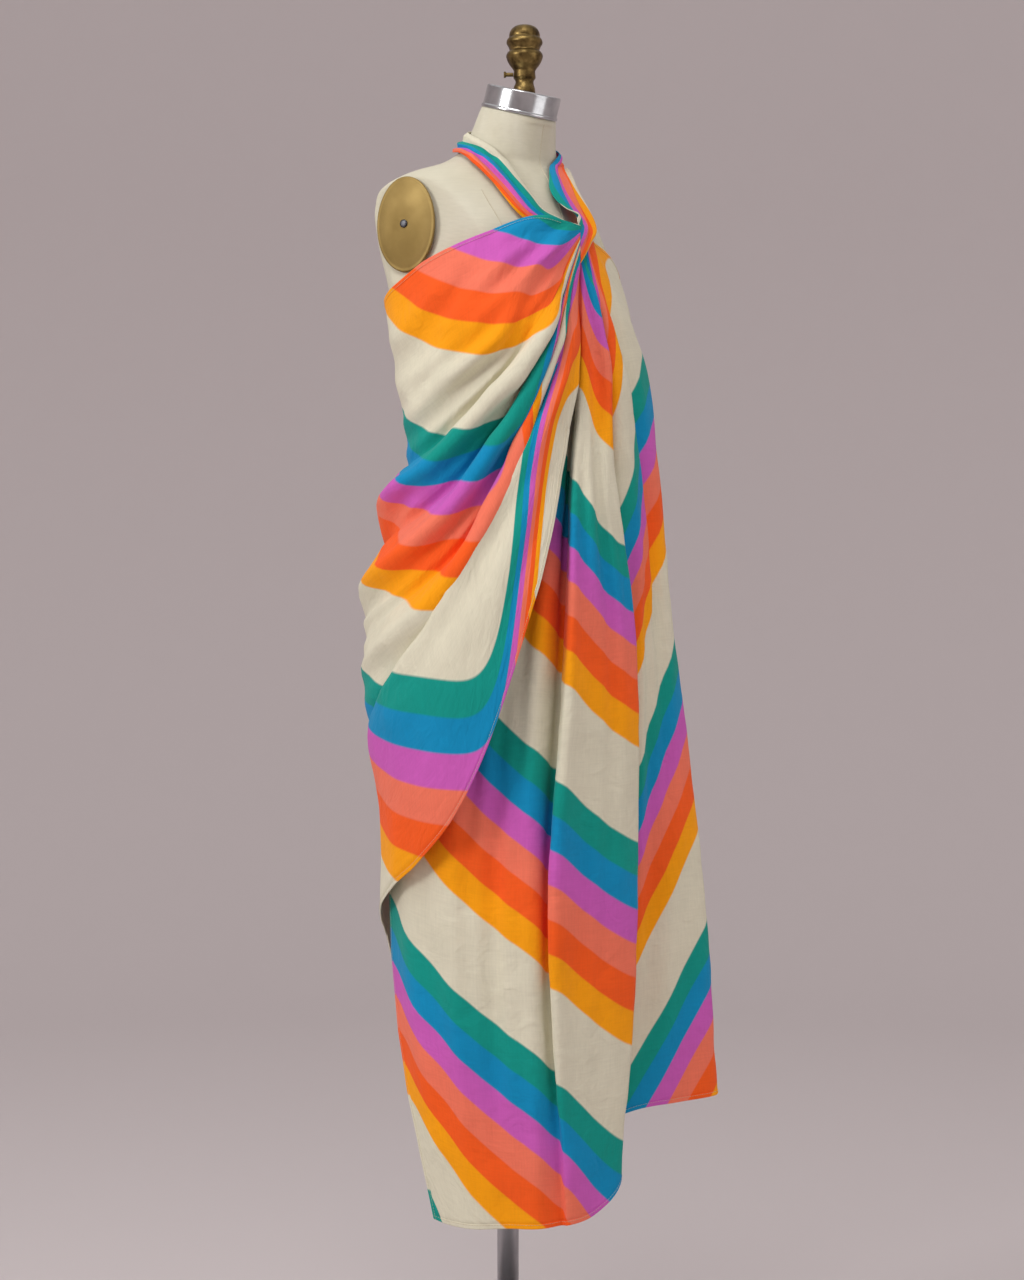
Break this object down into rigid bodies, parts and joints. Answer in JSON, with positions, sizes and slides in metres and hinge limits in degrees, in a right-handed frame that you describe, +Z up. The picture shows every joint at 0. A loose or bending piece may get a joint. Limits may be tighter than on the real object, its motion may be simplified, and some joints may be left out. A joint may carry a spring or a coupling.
{
  "type": "wrap dress on dress form",
  "caption": "Cotton wrap dress: one large cloth crossed at the chest and knotted at the nape, draped on a linen dress form with a pole and round base.",
  "frame": {"origin": "on the floor under the middle of the round base, on the pole's axis", "axes": "+Z up; the wearer's front faces -Y; the wearer's left is +X"},
  "size_m": [0.4039, 0.35, 1.6401],
  "materials": {
    "cotton": "matte printed cotton voile",
    "linen": "matte linen over a firm shell",
    "aluminium": "polished",
    "brass": "antiqued, satin",
    "steel": "dark satin",
    "enamel": "black enamel"
  },
  "bodies": {
    "root": {"front_wrap_right": "cotton", "front_wrap_left": "cotton", "back_wrap": "cotton", "halter_strap_right": "cotton", "halter_strap_left": "cotton", "nape_knot": "cotton", "knot_tail_left": "cotton", "knot_tail_right": "cotton", "form_torso": "linen", "form_neck_cap": "aluminium", "form_finial": "brass", "form_thumb_screw": "brass", "form_arm_plate_left": "brass", "form_arm_plate_right": "brass", "form_plate_screw_left": "steel", "form_plate_screw_right": "steel", "stand_pole": "steel", "cage_hoop_upper": "steel", "cage_hoop_lower": "steel", "cage_upright_1": "steel", "cage_upright_2": "steel", "cage_upright_3": "steel", "cage_upright_4": "steel", "cage_upright_5": "steel", "cage_upright_6": "steel", "cage_upright_7": "steel", "cage_upright_8": "steel", "stand_base": "enamel"}
  },
  "joints": []
}
